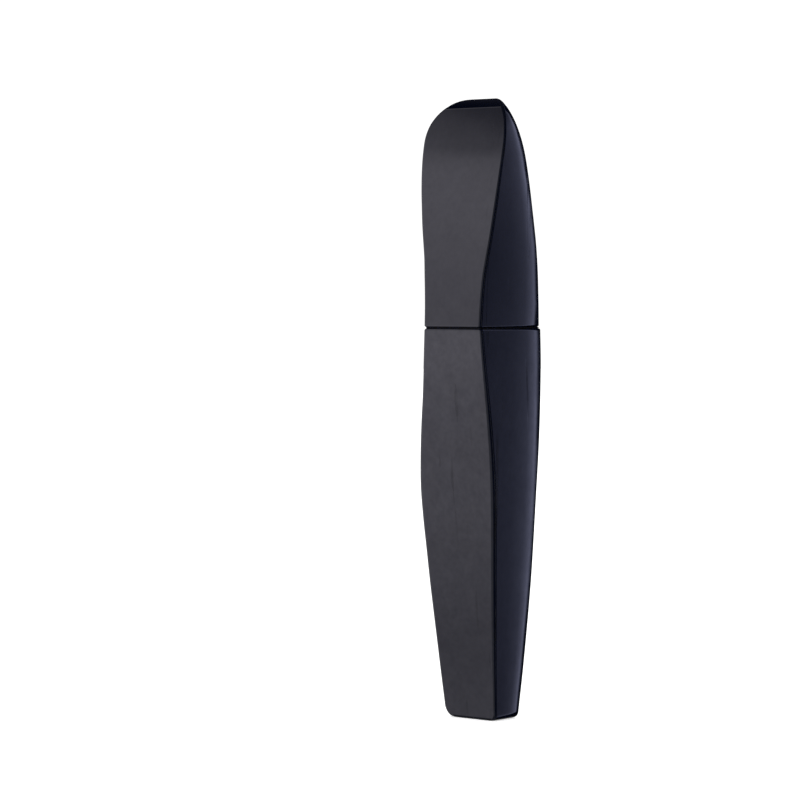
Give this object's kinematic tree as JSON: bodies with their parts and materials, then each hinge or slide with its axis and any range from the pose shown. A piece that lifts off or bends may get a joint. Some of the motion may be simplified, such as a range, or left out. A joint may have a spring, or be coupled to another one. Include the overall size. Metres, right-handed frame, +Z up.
{
  "type": "mascara tube",
  "caption": "Closed mascara tube: tapered flat-faced casing with a vial inside, and a wedge-shaped screw cap that carries the brush wand.",
  "frame": {"origin": "on the axis of the neck, in the plane of the base that the tube stands on", "axes": "+Z up from the base to the cap's tip, -Y out of the broad front face, -X towards the side with the larger bulge and the rounded shoulder"},
  "size_m": [0.0241, 0.0212, 0.135],
  "materials": {
    "bottle_casing": "polished blue-black",
    "cap_casing": "polished blue-black",
    "inner_black": "moulded satin black",
    "label_paper": "coated dark grey, blank",
    "vial_plastic": "natural milky plastic",
    "wiper_rubber": "soft translucent grey",
    "mascara": "thick wet black paste",
    "gasket_foam": "soft white liner",
    "weight_steel": "turned steel",
    "rod_plastic": "smooth black",
    "brush_wire": "twisted stainless wire",
    "bristle_nylon": "black nylon fibres"
  },
  "bodies": {
    "bottle": {"bottle_shell": "bottle_casing", "base_label": "label_paper", "inner_vial": "vial_plastic", "shoulder_plate": "inner_black", "wiper": "wiper_rubber", "mascara_fill": "mascara"},
    "seal": {"gasket": "gasket_foam"},
    "cap": {"cap_shell": "cap_casing", "inner_cap": "inner_black", "cap_weight": "weight_steel", "wand_rod": "rod_plastic", "brush_core": "brush_wire", "brush_bristles": "bristle_nylon"}
  },
  "joints": [
    {"name": "cap_lift", "type": "slide", "parent": "bottle", "child": "seal", "axis": [0, 0, 1], "range_m": [0, 0.0961], "deforming": ["wiper"]},
    {"name": "cap_turn", "type": "hinge", "parent": "seal", "child": "cap", "pos_m": [0, 0, 0.0854], "axis": [0, 0, 1], "range_deg": [0, 4320]}
  ],
  "couplings": [
    {"joint": "cap_lift", "follows": "cap_turn", "m_per_rad": 0.0012732}
  ]
}
